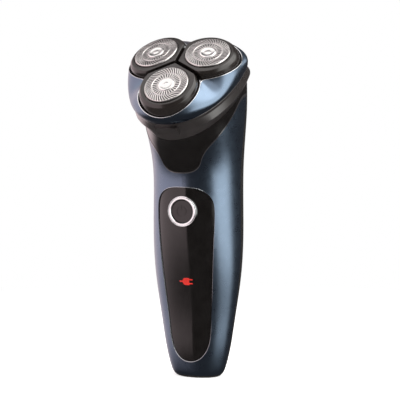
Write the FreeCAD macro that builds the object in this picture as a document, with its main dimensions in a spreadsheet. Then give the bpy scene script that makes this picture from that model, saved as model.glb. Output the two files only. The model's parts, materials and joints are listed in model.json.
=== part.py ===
import FreeCAD, Part
import math
import os

import Sketcher

# Rotary electric shaver with three floating cutting units on a flip-open head.
# World frame: origin at the middle of the base, +Z up the handle, -Y towards the button side, +X to the right.
# All sizes are millimetres and degrees.

os.makedirs("parts", exist_ok=True)

Vector = FreeCAD.Vector
Placement = FreeCAD.Placement
Rotation = FreeCAD.Rotation
AXIS_X = Vector(1, 0, 0)
AXIS_Y = Vector(0, 1, 0)
AXIS_Z = Vector(0, 0, 1)

doc = FreeCAD.newDocument("rotary_shaver")

# ---------------------------------------------------------------- driving dimensions

SIZES = {
    # head plane and its three cutting units
    "head_centre_back": -25.9,
    "head_centre_height": 152.6,
    "head_tilt": 39.4,
    "unit_offset": 15.47,
    "unit_tilt": 6.8,
    "disc_radius": 10.75,
    "rock_depth": 6.5,
    "seam_depth": 13.4,
    "seam_gap": 0.3,
    "ring_depth": 24.0,
    # skin walls
    "shell_wall": 1.9,
    "bowl_wall": 1.5,
    "cap_height": 1.2,
    # lobe covers
    "cover_drop": 0.6,
    "cover_height": 6.2,
    "cover_top_radius": 13.2,
    "cover_top_shift": 1.1,
    "cover_base_radius": 14.5,
    "cover_base_offset": 15.0,
    "cover_hole_radius": 11.05,
    "cover_bore_radius": 11.45,
    "groove_half_width": 0.9,
    # head trim and bowl opening
    "opening_radius": 14.9,
    "trim_radius": 15.2,
    "trim_height": 1.4,
    "rim_valley_depth": 3.9,
    "rim_tip_depth": 7.8,
    "rim_tip_reach": 30.0,
    "rim_slope": 16.7,
    "opening_depth": 9.6,
    "hollow_depth": 8.2,
    # combs, their caps and cutters
    "comb_skin": 0.5,
    "comb_wall": 0.6,
    "comb_height": 3.8,
    "comb_flange_radius": 11.35,
    "comb_flange_height": 0.6,
    "comb_cap_radius": 4.1,
    "comb_cap_depth": 0.2,
    "track_groove_depth": 0.2,
    "inner_slot_start": 4.6,
    "inner_slot_end": 6.4,
    "outer_slot_start": 7.8,
    "outer_slot_end": 10.1,
    "slot_width": 0.34,
    "inner_slot_count": 36,
    "outer_slot_count": 60,
    "press_travel": 1.0,
    "cutter_top_depth": 0.75,
    "cutter_plate_depth": 3.0,
    "cutter_plate_height": 0.6,
    "cutter_radius": 9.8,
    "cutter_hub_radius": 4.2,
    "cutter_base_depth": 8.0,
    "blade_count": 12,
    "blade_thickness": 0.8,
    "retainer_depth": 4.95,
    "retainer_height": 0.6,
    "retainer_inner_radius": 10.2,
    # lobe pivots
    "pivot_pin_radius": 0.8,
    "pivot_bore_radius": 0.86,
    "pivot_post_start": 11.6,
    "pivot_post_width": 0.9,
    "pivot_lug_start": 12.6,
    "pivot_lug_width": 1.6,
    "pivot_half_depth": 2.0,
    "frame_depth": 10.0,
    "frame_thickness": 1.4,
    "frame_hole_radius": 6.0,
    # spindles
    "tip_top_depth": 5.8,
    "tip_base_depth": 7.6,
    "tip_top_half": 0.7,
    "tip_base_half": 1.7,
    "socket_top_depth": 5.0,
    "socket_top_half": 0.95,
    "socket_mouth_half": 2.62,
    "spindle_radius": 1.94,
    "spindle_base_depth": 15.2,
    # gear train
    "pinion_teeth": 15,
    "gear_teeth": 30,
    "gear_top_depth": 17.5,
    "gear_thickness": 3.0,
    "tower_top_depth": 12.2,
    "tower_radius": 3.4,
    "tower_bore_radius": 2.0,
    "tower_floor_depth": 19.8,
    "boss_radius": 3.0,
    "boss_base_depth": 22.6,
    "axle_radius": 1.0,
    "axle_bore_radius": 1.06,
    "axle_top_depth": 20.6,
    "spring_wire_radius": 0.22,
    "spring_coil_radius": 1.5,
    "spring_turns": 4,
    "cover_plate_depth": 14.6,
    "cover_plate_thickness": 1.5,
    "base_plate_depth": 23.2,
    "base_plate_thickness": 2.0,
    "deck_post_radius": 2.4,
    "deck_post_offset": 18.0,
    "deck_screw_radius": 0.9,
    "deck_screw_head_radius": 1.8,
    # motor
    "motor_radius": 10.0,
    "motor_length": 25.0,
    "motor_wall": 0.8,
    "motor_shaft_radius": 1.0,
    "motor_bearing_radius": 3.0,
    "rotor_radius": 6.6,
    # hinge and release button
    "hinge_back": 27.8,
    "hinge_radius": 2.2,
    "hinge_clearance": 0.35,
    "hinge_pin_radius": 1.0,
    "hinge_bore_radius": 1.06,
    "knuckle_half_width": 6.0,
    "ear_half_width": 10.5,
    "release_half_width": 5.5,
    "release_depth": 15.2,
    "release_height": 4.6,
    "release_front": 29.3,
    "release_thickness": 3.0,
    # power button and panel
    "button_height": 82.0,
    "button_radius": 5.5,
    "bezel_inner_radius": 5.58,
    "bezel_outer_radius": 7.3,
    "bezel_front": 20.1,
    "bezel_length": 3.4,
    "button_front": 19.7,
    "button_length": 2.6,
    "stem_radius": 1.6,
    "symbol_radius": 2.6,
    "symbol_stroke": 0.5,
    "symbol_depth": 0.2,
    "panel_drop": 0.5,
    "panel_thickness": 1.0,
    "panel_gap": 0.15,
    "icon_height": 47.9,
    # charging socket
    "socket_half_width": 4.2,
    "socket_half_depth": 2.5,
    "socket_wall": 0.8,
    "socket_height": 9.0,
    "contact_pin_radius": 0.8,
    "contact_pin_offset": 2.0,
    # battery, circuit board and chassis
    "battery_radius": 7.0,
    "battery_length": 49.0,
    "battery_base": 32.0,
    "battery_back": 3.5,
    "board_half_width": 8.8,
    "board_front": 7.6,
    "board_thickness": 1.0,
    "board_base": 27.0,
    "board_length": 66.0,
    "chassis_wall": 1.4,
    "chassis_half_width": 9.0,
}

# Cross-sections of the handle and neck: height, tilt, half width, front length, back length.
# A section is two half ellipses that share their widest line.
SECTIONS = {
    "base": (0.0, 0, 9.8, 6.8, 6.8),
    "edge": (0.8, 0, 11.6, 8.4, 8.4),
    "bevel": (2.2, 0, 12.8, 9.3, 9.3),
    "heel": (4.8, 0, 13.9, 10.0, 10.0),
    "foot": (9.0, 0, 15.1, 10.8, 10.8),
    "shin": (28.0, 0, 18.5, 12.8, 12.8),
    "knee": (51.0, 0, 21.6, 16.3, 16.3),
    "belly": (66.0, 0, 22.3, 18.4, 18.4),
    "waist": (85.0, 0, 22.1, 19.7, 19.8),
    "throat": (104.0, 10, 22.3, 21.0, 20.3),
    "bend": (116.0, 20, 23.3, 25.3, 20.4),
    "shoulder": (130.0, 31, 24.6, 33.0, 17.8),
}
SECTION_FIELDS = ("height", "tilt", "width", "front", "back")

# Sections parallel to the head plane: depth, forward shift of the widest line, half width, front length,
# back length and how far the outline has drawn in to the scalloped rim around the covers.
HEAD_SECTIONS = {
    "neck": (24.0, -13.0, 25.1, 40.9, 14.0, 0.0),
    "hem": (14.8, -12.0, 28.3, 40.8, 14.8, 0.0),
    "seam": (13.4, -12.0, 28.8, 41.0, 14.8, 0.0),
    "cheek": (11.9, -12.2, 29.35, 42.1, 15.15, 0.0),
    "bowl": (10.3, -12.4, 29.7, 42.9, 15.4, 0.03),
    "brow": (9.0, -12.5, 29.75, 43.3, 15.5, 0.12),
    "crest": (7.9, -12.5, 29.7, 43.4, 15.4, 0.28),
    "lip": (6.9, -12.5, 29.6, 43.3, 15.2, 0.47),
    "edge": (5.9, -12.5, 29.5, 43.2, 15.0, 0.67),
    "shelf": (4.9, -12.5, 29.4, 43.1, 14.8, 0.86),
    "rim": (3.9, -12.5, 29.4, 43.0, 14.8, 1.0),
}
HEAD_FIELDS = ("depth", "shift", "width", "front", "back", "scallop")

for section, values in SECTIONS.items():
    for field, value in zip(SECTION_FIELDS, values):
        SIZES[section + "_section_" + field] = value
for section, values in HEAD_SECTIONS.items():
    for field, value in zip(HEAD_FIELDS, values):
        SIZES[section + "_outline_" + field] = value

sheet = doc.addObject("Spreadsheet::Sheet", "Sizes")
for row, (alias, value) in enumerate(SIZES.items(), start=1):
    sheet.set("A%d" % row, alias.replace("_", " "))
    sheet.set("B%d" % row, str(value))
    sheet.setAlias("B%d" % row, alias)
doc.recompute()


def size(alias):
    """The value that the sheet holds under this alias."""
    return float(sheet.get(alias))


def number(text):
    """The value of a sum of aliases and numbers, with products and no brackets."""
    total = 0.0
    for term in text.replace("- ", "+ -").split("+"):
        term = term.strip()
        sign = -1.0 if term.startswith("-") else 1.0
        product = sign
        for factor in term.lstrip("-").split("*"):
            word = factor.strip()
            product *= size(word) if word in SIZES else float(word)
        total += product
    return total


def qualified(text):
    """The same sum written for the document's expression engine."""
    words = text.replace("*", " * ").split()
    named = []
    for word in words:
        bare = word.lstrip("-")
        lead = word[: len(word) - len(bare)]
        named.append(lead + ("Sizes." + bare if bare in SIZES else bare))
    return " ".join(named)


def difference(high, low):
    """The sum high minus low, with every sign of low turned round."""
    flipped = low.replace(" - ", " ~ ").replace(" + ", " - ").replace(" ~ ", " + ")
    return high + " - " + flipped


def doubled(text):
    return text + " + " + text


def bind(obj, prop, text):
    """Tie one property of an object to the sheet."""
    obj.setExpression(prop, qualified(text))


# ---------------------------------------------------------------- frames

# The head frame looks into the head: x right, y towards the chin of the head, z = depth below the discs.
HEAD = Placement(
    Vector(0, size("head_centre_back"), size("head_centre_height")),
    Rotation(AXIS_X, 180 + size("head_tilt")),
)
WORLD = Placement()
TURNS = {"front": 0.0, "right": -120.0, "left": 120.0}
DRIVE_OFFSET = size("unit_offset") - size("rock_depth") * math.sin(math.radians(size("unit_tilt")))


def turned_by(degrees):
    return Placement(Vector(), Rotation(AXIS_Z, degrees))


def shifted(x, y, z):
    return Placement(Vector(x, y, z), Rotation())


UNIT = {
    side: turned_by(turn) * shifted(0, size("unit_offset"), 0)
    * Placement(Vector(), Rotation(AXIS_X, size("unit_tilt")))
    for side, turn in TURNS.items()
}
DRIVE = {side: turned_by(turn) * shifted(0, DRIVE_OFFSET, 0) for side, turn in TURNS.items()}

# ---------------------------------------------------------------- builders


def primitive(kind, name, sizes, at=("0", "0", "0"), turn=None):
    """A Part primitive whose sizes and position are tied to the sheet."""
    obj = doc.addObject("Part::" + kind, name)
    for prop, text in sizes.items():
        bind(obj, prop, text)
    if turn:
        obj.Placement = Placement(Vector(), turn)
    for axis, text in zip("xyz", at):
        if text != "0":
            bind(obj, "Placement.Base." + axis, text)
    return obj


def cylinder(name, radius, height, at=("0", "0", "0"), turn=None):
    return primitive("Cylinder", name, {"Radius": radius, "Height": height}, at, turn)


def block(name, half_x, half_y, height, at=("0", "0", "0")):
    """A box centred on its x and y position, standing on its z position."""
    sizes = {"Length": doubled(half_x), "Width": doubled(half_y), "Height": height}
    corner = (difference(at[0], half_x), difference(at[1], half_y), at[2])
    return primitive("Box", name, sizes, corner)


def slab(name, low, high):
    """The space between two depths below the head plane, far wider than the head."""
    sizes = {"Length": "240", "Width": "240", "Height": difference(high, low)}
    obj = primitive("Box", name, sizes)
    obj.Placement = HEAD * shifted(-120, -120, number(low))
    return obj


def space(name, low, high):
    """An axis-aligned box in the world frame, given by two corners."""
    obj = doc.addObject("Part::Box", name)
    obj.Length, obj.Width, obj.Height = [b - a for a, b in zip(low, high)]
    obj.Placement = shifted(*low)
    return obj


def cut(name, base, *tools):
    for index, tool in enumerate(tools):
        step = doc.addObject("Part::Cut", name if index == len(tools) - 1 else name + "_step")
        step.Base = base
        step.Tool = tool
        step.Refine = False
        base = step
    return base


def fuse(name, *shapes):
    obj = doc.addObject("Part::MultiFuse", name)
    obj.Shapes = list(shapes)
    obj.Refine = False
    return obj


def common(name, *shapes):
    obj = doc.addObject("Part::MultiCommon", name)
    obj.Shapes = list(shapes)
    obj.Refine = False
    return obj


def group(name, *shapes):
    obj = doc.addObject("Part::Compound", name)
    obj.Links = list(shapes)
    return obj


def placed(obj, frame):
    """The object carried into a frame."""
    holder = group(obj.Name + "_placed", obj)
    holder.Placement = frame
    return holder


def freeform(name, shape, frame=WORLD):
    obj = doc.addObject("Part::Feature", name)
    obj.Shape = shape
    obj.Placement = frame
    return obj


def origin_plane(body, role):
    return next(item for item in body.Origin.OriginFeatures if item.Role == role)


def place_point(sketch, geometry, position, texts):
    """Hold one sketch point at a position given by two sums from the sheet."""
    for kind, axis, text in (("DistanceX", -2, texts[0]), ("DistanceY", -1, texts[1])):
        if text == "0":
            sketch.addConstraint(Sketcher.Constraint("PointOnObject", geometry, position, axis))
            continue
        value = number(text)
        ends = (-1, 1, geometry, position) if value > 0 else (geometry, position, -1, 1)
        index = sketch.addConstraint(Sketcher.Constraint(kind, *ends, abs(value)))
        sketch.setExpression("Constraints[%d]" % index, qualified(text) if value > 0 else "-(" + qualified(text) + ")")


def sketch_on(body, role):
    sketch = body.newObject("Sketcher::SketchObject", body.Name + "_sketch")
    sketch.AttachmentSupport = [(origin_plane(body, role), "")]
    sketch.MapMode = "FlatFace"
    return sketch


def draw_polygon(sketch, points):
    spots = [Vector(number(x), number(y), 0) for x, y in points]
    count = len(spots)
    for index in range(count):
        sketch.addGeometry(Part.LineSegment(spots[index], spots[(index + 1) % count]), False)
    for index in range(count):
        sketch.addConstraint(Sketcher.Constraint("Coincident", index, 2, (index + 1) % count, 1))
    for index, texts in enumerate(points):
        place_point(sketch, index, 1, texts)


def turned(name, profile, frame=WORLD):
    """A body of revolution about its own z axis, from (radius, height) corners."""
    body = doc.addObject("PartDesign::Body", name)
    sketch = sketch_on(body, "XZ_Plane")
    draw_polygon(sketch, profile)
    doc.recompute()
    turn = body.newObject("PartDesign::Revolution", name + "_turn")
    turn.Profile = sketch
    turn.ReferenceAxis = (sketch, ["V_Axis"])
    turn.Angle = 360
    sketch.Visibility = False
    body.Tip = turn
    body.Placement = frame
    return body


nodes = []


def node(obj, label, frame=None):
    """Name a finished sub-part and put it in its frame."""
    obj.Label = label
    if frame is not None:
        obj.Placement = frame
    nodes.append(obj)
    return obj


# ---------------------------------------------------------------- outlines and lofts

OUTLINE_POINTS = 36


def closed_curve(points, even=True):
    """A smooth closed wire through the points, evenly parametrised where sections have to loft cleanly."""
    curve = Part.BSplineCurve()
    if even:
        knots = [index / len(points) for index in range(len(points) + 1)]
        curve.interpolate(Points=points, PeriodicFlag=True, Parameters=knots)
    else:
        curve.interpolate(Points=points, PeriodicFlag=True)
    return Part.Wire([curve.toShape()])


def half_ellipses(width, front, back, grow=0.0):
    """Points of a section as (x, forward) pairs, wider by grow all round."""
    points = []
    for index in range(OUTLINE_POINTS):
        angle = 2 * math.pi * index / OUTLINE_POINTS
        reach = front if math.cos(angle) > 0 else back
        points.append(((width + grow) * math.sin(angle), (reach + grow) * math.cos(angle)))
    return points


def handle_section(name, grow):
    values = {field: size(name + "_section_" + field) for field in SECTION_FIELDS}
    tilt = math.radians(values["tilt"])
    return closed_curve([
        Vector(x, -forward * math.cos(tilt), values["height"] - forward * math.sin(tilt))
        for x, forward in half_ellipses(values["width"], values["front"], values["back"], grow)
    ])


def scallop_radius(angle, offset, radius):
    """Distance from the head axis to the softened outline of three overlapping circles."""
    softness = 16
    total = 0.0
    for turn in TURNS.values():
        apart = angle - math.radians(turn)
        reach = offset * math.cos(apart) + math.sqrt(radius ** 2 - (offset * math.sin(apart)) ** 2)
        total += reach ** softness
    return total ** (1 / softness)


def head_section(name, grow, in_world=True):
    values = {field: size(name + "_outline_" + field) for field in HEAD_FIELDS}
    rim = size("trim_radius") + 0.6
    points = []
    for x, forward in half_ellipses(values["width"], values["front"], values["back"], grow):
        y = forward + values["shift"]
        reach = math.hypot(x, y)
        scalloped = scallop_radius(math.atan2(x, y), size("cover_base_offset"), rim) + grow
        scale = 1 + values["scallop"] * (scalloped / reach - 1)
        point = Vector(x * scale, y * scale, values["depth"])
        points.append(HEAD.multVec(point) if in_world else point)
    return closed_curve(points)


def handle_loft(grow, first):
    names = list(SECTIONS)
    wires = [handle_section(name, grow) for name in names[names.index(first):]]
    wires += [head_section("neck", grow), head_section("seam", grow)]
    return Part.makeLoft(wires, True, False)


def bowl_loft(grow, names):
    return Part.makeLoft([head_section(name, grow, in_world=False) for name in names], True, False)


def curve_prism(points, low, high):
    """A closed front-view curve in x and z, extruded along y from low to high."""
    face = Part.Face(closed_curve([Vector(x, low, z) for x, z in points], even=False))
    return face.extrude(Vector(0, high - low, 0))


# ---------------------------------------------------------------- handle and neck shells

FAR = 90.0
SEAM_Y = 0.0

# Lower edge of the collar in front view: height of the edge against distance from the middle.
BIB_EDGE = [(0, 100.3), (5.6, 101.0), (9.0, 103.6), (10.6, 107.0), (13.4, 111.6), (17.6, 116.9),
            (20.6, 121.9), (23.0, 128.0), (24.6, 135.0), (26.5, 145.0)]


def above_bib_edge(lift):
    """The space above the collar's lower edge, raised by lift."""
    points = [Vector(x, -FAR, z + lift) for x, z in BIB_EDGE]
    mirrored = [Vector(-p.x, p.y, p.z) for p in reversed(points[1:])]
    edge = Part.BSplineCurve()
    edge.interpolate(mirrored + points)
    right, left = points[-1], mirrored[0]
    corners = [(FAR, right.z), (FAR, 200.0), (-FAR, 200.0), (-FAR, left.z)]
    sides = Part.makePolygon([right] + [Vector(x, -FAR, z) for x, z in corners] + [left])
    face = Part.Face(Part.Wire([edge.toShape()] + sides.Edges))
    return face.extrude(Vector(0, 2 * FAR, 0))


PANEL_EDGE = [(0, 8.0), (5.6, 9.9), (8.9, 14.5), (11.1, 27), (12.8, 47), (14.1, 66), (14.8, 81), (13.4, 88.6),
              (8.6, 92.6), (0, 93.6)]


def panel_prism(name, gap):
    right = [(max(x - gap, 0), z + (gap if z < 10 else -gap if z > 90 else 0)) for x, z in PANEL_EDGE]
    left = [(-x, z) for x, z in reversed(right[1:-1])]
    return freeform(name, curve_prism(right + left, -FAR, 0))


wall = size("shell_wall")
skin = freeform("handle_skin", handle_loft(0, "base"))
core = freeform("handle_core", handle_loft(-wall, "heel"))
shell = cut("handle_wall", skin, core)
recess_floor = freeform("recess_floor", handle_loft(-size("panel_drop") - size("panel_thickness"), "edge"))
panel_face = freeform("panel_face", handle_loft(-size("panel_drop"), "edge"))

front_half = space("front_half", (-FAR, -FAR, size("cap_height")), (FAR, SEAM_Y, 200))
rear_half = space("rear_half", (-FAR, SEAM_Y, size("cap_height")), (FAR, FAR, 200))
cap_space = space("cap_space", (-FAR, -FAR, -1), (FAR, FAR, size("cap_height")))
front_space = space("front_space", (-FAR, -FAR, 1), (FAR, -1, 120))
bib_space = freeform("bib_space", above_bib_edge(0.25))
shell_space = freeform("shell_space", above_bib_edge(-0.25))
body_depths = slab("body_depths", "ring_depth", "200")
ring_depths = slab("ring_depths", "seam_depth + seam_gap", "ring_depth - 0.05")

socket_cut = block("socket_cut", "socket_half_width", "socket_half_depth", "20", ("0", "0", "-1"))

# Front shell: the metallic front cover, recessed for the control panel.
recess = cut("panel_recess", panel_prism("recess_prism", 0), recess_floor)
bezel_hole = cylinder("bezel_hole", "bezel_outer_radius", "20", ("0", "-5", "button_height"), Rotation(AXIS_X, 90))
icon_parts = [
    block("icon_head", "0.95", "3", "3.5", ("0.85", "-13", "icon_height - 1.75")),
    block("icon_cord", "0.9", "3", "0.7", ("-2.4", "-13", "icon_height - 0.35")),
    block("icon_prong_low", "0.9", "3", "0.6", ("2.6", "-13", "icon_height - 1.25")),
    block("icon_prong_high", "0.9", "3", "0.6", ("2.6", "-13", "icon_height + 0.65")),
]
icon_back = cylinder("icon_back", "1.75", "6", ("0", "-10", "icon_height"), Rotation(AXIS_X, 90))
icon_post = fuse("icon_post", icon_back, *icon_parts)

front_wall = cut("front_wall", shell, shell_space, recess, bezel_hole, icon_post, socket_cut)
node(common("front_cover", front_wall, front_half, body_depths), "front_shell")

# Rear shell and the collar that closes the neck in front of it.
rear_cover = common("rear_cover", shell, rear_half, body_depths)
node(cut("rear_cut", rear_cover, socket_cut), "rear_shell")
node(common("bib", shell, front_half, bib_space, body_depths), "neck_collar")

# A thin bright line lies between the collar and the front shell.
trim_skin = freeform("trim_skin", handle_loft(0.12, "base"))
trim_core = freeform("trim_core", handle_loft(-1.0, "heel"))
trim_band = cut("trim_band", cut("trim_wall", trim_skin, trim_core), bib_space)
node(common("trim_line", trim_band, shell_space, front_half, body_depths), "collar_trim")

# Control panel inside the recess.
panel_prism_inner = panel_prism("panel_outline", size("panel_gap"))
panel_plate = common("panel_plate", panel_prism_inner, cut("panel_layer", panel_face, recess_floor), front_space)
node(cut("panel_cut", panel_plate, bezel_hole, icon_post), "control_panel")

# Plug-shaped light window, its face level with the panel.
node(common("icon_window", icon_post, panel_face), "indicator_lens")

# ---------------------------------------------------------------- base

node(cut("cap_cut", common("cap_body", skin, cap_space), socket_cut), "bottom_cap")

socket_outer = block(
    "socket_outer", "socket_half_width", "socket_half_depth", "socket_height - cap_height",
    ("0", "0", "cap_height"))
socket_inner = block(
    "socket_inner", "socket_half_width - socket_wall", "socket_half_depth - socket_wall",
    "socket_height - cap_height - 2 * socket_wall", ("0", "0", "cap_height"))
node(cut("socket_shell", socket_outer, socket_inner), "charging_socket")
pins = [
    cylinder("contact_" + side, "contact_pin_radius", "socket_height - cap_height - 3 * socket_wall",
             (sign + "contact_pin_offset", "0", "cap_height + socket_wall"))
    for side, sign in (("left", "-"), ("right", ""))
]
node(group("contact_pair", *pins), "charging_pins")

# ---------------------------------------------------------------- battery, board and chassis

node(turned("battery", [
    ("0", "0"), ("battery_radius", "0"), ("battery_radius", "battery_length"),
    ("battery_radius - 2.0", "battery_length"), ("battery_radius - 2.0", "battery_length - 0.4"),
    ("3.0", "battery_length - 0.4"), ("3.0", "battery_length + 1.0"), ("0", "battery_length + 1.0"),
]), "battery_cell", shifted(0, size("battery_back"), size("battery_base")))

contact_low = block("contact_low", "4", "4", "0.4", ("0", "battery_back", "battery_base - 0.4"))
contact_high = block("contact_high", "4", "4", "0.4", ("0", "battery_back", "battery_base + battery_length + 1.0"))
node(group("contact_plates", contact_low, contact_high), "battery_contacts")

board_y = "0 - board_front + 0.5 * board_thickness"
node(block("board", "board_half_width", "0.5 * board_thickness", "board_length", ("0", board_y, "board_base")),
     "circuit_board")

switch_case = block("switch_case", "3", "1.0", "6", ("0", "0 - board_front - 1.0", "button_height - 3"))
switch_tip = cylinder("switch_tip", "1.6", "0.5", ("0", "0 - board_front - 2.0", "button_height"),
                      Rotation(AXIS_X, 90))
node(fuse("switch", switch_case, switch_tip), "tactile_switch")

node(block("led", "1.2", "0.55", "1.6", ("0", "0 - board_front - 0.55", "icon_height - 0.8")), "indicator_led")

# Chassis: a web between board and battery, with a shelf under and over the battery.
web_y = "0 - board_front + board_thickness + 0.5 * chassis_wall + 0.1"
chassis_web = block("chassis_web", "chassis_half_width", "0.5 * chassis_wall", "76", ("0", web_y, "22"))
shelf_low = block("shelf_low", "chassis_half_width", "8", "chassis_wall",
                  ("0", "battery_back - 1.2", "battery_base - 0.4 - chassis_wall"))
shelf_high = block("shelf_high", "chassis_half_width", "8", "chassis_wall",
                   ("0", "battery_back - 1.2", "battery_base + battery_length + 1.4"))
board_ledge = block("board_ledge", "chassis_half_width", "2.6", "chassis_wall",
                    ("0", "0 - board_front - 0.2", "board_base - chassis_wall"))
chassis_body = fuse("chassis_body", chassis_web, shelf_low, shelf_high, board_ledge)
node(common("chassis_fit", chassis_body, freeform("chassis_skin", handle_loft(-wall - 0.15, "heel"))), "chassis")

# ---------------------------------------------------------------- power button

bezel_turn = Rotation(AXIS_X, 90)
node(turned("bezel", [
    ("bezel_inner_radius", "0"), ("bezel_outer_radius", "0"), ("bezel_outer_radius", "bezel_length - 0.5"),
    ("bezel_outer_radius - 0.5", "bezel_length"), ("bezel_inner_radius + 0.3", "bezel_length"),
    ("bezel_inner_radius", "bezel_length - 0.3"),
]), "button_bezel",
    Placement(Vector(0, -size("bezel_front") + size("bezel_length"), size("button_height")), bezel_turn))

button_face = turned("button_face", [
    ("0", "0"), ("stem_radius", "0"), ("stem_radius", "button_front - button_length - 11.1"),
    ("button_radius", "button_front - button_length - 11.1"), ("button_radius", "button_front - 11.1 - 0.3"),
    ("button_radius - 0.3", "button_front - 11.1"), ("0", "button_front - 11.1"),
])
symbol_level = "button_front - 11.1 - symbol_depth"
arc_outer = cylinder("arc_outer", "symbol_radius", "2", ("0", "0", symbol_level))
arc_inner = cylinder("arc_inner", "symbol_radius - symbol_stroke", "2", ("0", "0", symbol_level))
arc_gap = block("arc_gap", "0.9", "1.5", "3", ("0", "1.5", symbol_level))
symbol_bar = block("symbol_bar", "0.5 * symbol_stroke", "1.3", "2", ("0", "1.9", symbol_level))
symbol_arc = cut("symbol_arc", arc_outer, arc_inner, arc_gap)
button_body = cut("button_body", button_face, symbol_arc, symbol_bar)
node(button_body, "power_button", Placement(Vector(0, -11.1, size("button_height")), bezel_turn))

# ---------------------------------------------------------------- neck ring, gear decks and hinge

ring_wall = cut("ring_wall", skin, freeform("ring_core", handle_loft(-wall, "heel")))
ring_body = common("ring_body", ring_wall, ring_depths)
hinge_turn = Rotation(AXIS_Y, 90)
hinge_y = "0 - hinge_back"


def hinge_cylinder(name, radius, half_width, start="0"):
    """A cylinder on the hinge axis in the head frame, from start to half_width on the right or on both sides."""
    if start == "0":
        left = difference("0", half_width)
        return cylinder(name, radius, doubled(half_width), (left, hinge_y, "seam_depth"), hinge_turn)
    return cylinder(name, radius, difference(half_width, start), (start, hinge_y, "seam_depth"), hinge_turn)


def mirrored(name, obj):
    """The object's mirror image across the middle plane."""
    twin = doc.addObject("Part::Mirroring", name)
    twin.Source = obj
    twin.Base = Vector()
    twin.Normal = AXIS_X
    return twin


ear_start = "knuckle_half_width + 0.2"
ear = hinge_cylinder("ear", "hinge_radius", "ear_half_width", ear_start)
ear_root = block("ear_root", "2.1", "hinge_radius", "3.6", ("8.3", "0 - hinge_back + 1.0", "seam_depth"))
ears = fuse("ears", ear, mirrored("ear_left", ear), ear_root, mirrored("ear_root_left", ear_root))
ears.Placement = HEAD
knuckle_room = placed(
    hinge_cylinder("knuckle_room", "hinge_radius + hinge_clearance", "knuckle_half_width + 0.2"), HEAD)
pin_hole = placed(hinge_cylinder("pin_hole", "hinge_pin_radius", "ear_half_width + 1.0"), HEAD)
release_room = block("release_room", "release_half_width + 0.3", "2.6", "release_height + 0.5",
                     ("0", "release_front - release_thickness + 1.4", "release_depth - 0.25"))
release_room = placed(release_room, HEAD)
ring_with_ears = fuse("ring_with_ears", ring_body, ears)
node(cut("ring_cut", ring_with_ears, knuckle_room, pin_hole, release_room), "neck_ring")

deck_skin = freeform("deck_skin", handle_loft(-wall - 0.4, "waist"))
hinge_space = block("hinge_space", "ear_half_width + 0.3", "3.0", "4.0",
                    ("0", "0 - hinge_back + 0.7", "cover_plate_depth - 1.0"))
hinge_space = placed(hinge_space, HEAD)
drive_places = {side: HEAD * place for side, place in DRIVE.items()}
post_places = [HEAD * turned_by(turn + 180) * shifted(0, size("deck_post_offset"), 0) for turn in TURNS.values()]


def repeated(name, builder, places):
    """One tool built at each place and grouped."""
    tools = []
    for index, place in enumerate(places):
        tools.append(placed(builder(name + "_%d" % index), place))
    return group(name, *tools)


def upright(radius, top, base):
    """A builder of a cylinder between two depths."""
    return lambda name: cylinder(name, radius, difference(base, top), ("0", "0", top))


base_plate = common("base_plate", deck_skin, slab("base_slab", "base_plate_depth",
                                                  "base_plate_depth + base_plate_thickness"))
axles = repeated("axles", upright("axle_radius", "axle_top_depth", "base_plate_depth + 0.5"), drive_places.values())
posts = repeated("posts", upright("deck_post_radius", "cover_plate_depth + cover_plate_thickness",
                                  "base_plate_depth + 0.5"), post_places)
screw_holes = repeated("screw_holes", upright("deck_screw_radius", "cover_plate_depth - 1.0", "base_plate_depth"),
                       post_places)
shaft_hole = upright("motor_bearing_radius + 0.2", "base_plate_depth - 1.0", "base_plate_depth + 4.0")("shaft_hole")
shaft_hole = placed(shaft_hole, HEAD)
base_body = fuse("base_body", base_plate, axles, posts)
node(cut("base_cut", base_body, screw_holes, shaft_hole), "gearbox_base")

cover_plate = common("cover_plate", deck_skin, slab("cover_slab", "cover_plate_depth",
                                                    "cover_plate_depth + cover_plate_thickness"))
tower_holes = repeated("tower_holes", upright("tower_radius + 0.3", "tower_top_depth", "gear_top_depth"),
                       drive_places.values())
node(cut("cover_cut", cover_plate, tower_holes, screw_holes, release_room, hinge_space), "gearbox_cover")

screw_shafts = repeated("screw_shafts", upright("deck_screw_radius", "cover_plate_depth - 0.1",
                                                "base_plate_depth - 1.5"), post_places)
screw_heads = repeated("screw_heads", upright("deck_screw_head_radius", "cover_plate_depth - 0.8",
                                              "cover_plate_depth"), post_places)
node(fuse("deck_screws", screw_shafts, screw_heads), "gearbox_screws")

pin_body = hinge_cylinder("pin_body", "hinge_pin_radius", "ear_half_width")
node(placed(pin_body, HEAD), "hinge_pin")

release = block("release", "release_half_width", "0.5 * release_thickness", "release_height",
                ("0", "release_front - 0.5 * release_thickness", "release_depth"))
release_slope = Part.makeBox(20, 6, 8, Vector(-10, size("release_front") - 1.0, size("release_depth") + 2.4))
release_slope.rotate(Vector(0, size("release_front"), size("release_depth") + 2.6), AXIS_X, 14)
node(cut("release_shape", release, freeform("release_bevel", release_slope)), "release_button", HEAD)

# ---------------------------------------------------------------- motor and gears

motor_top = "base_plate_depth + base_plate_thickness + 0.2"
node(turned("motor_case", [
    ("motor_shaft_radius + 0.06", motor_top),
    ("motor_bearing_radius", motor_top),
    ("motor_bearing_radius", motor_top + " + 0.6"),
    ("motor_radius", motor_top + " + 0.6"),
    ("motor_radius", motor_top + " + motor_length"),
    ("motor_shaft_radius + 0.06", motor_top + " + motor_length"),
    ("motor_shaft_radius + 0.06", motor_top + " + motor_length - 2.0"),
    ("motor_radius - motor_wall", motor_top + " + motor_length - 2.0"),
    ("motor_radius - motor_wall", motor_top + " + 2.4"),
    ("motor_shaft_radius + 0.06", motor_top + " + 2.4"),
]), "motor_can", HEAD)

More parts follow.
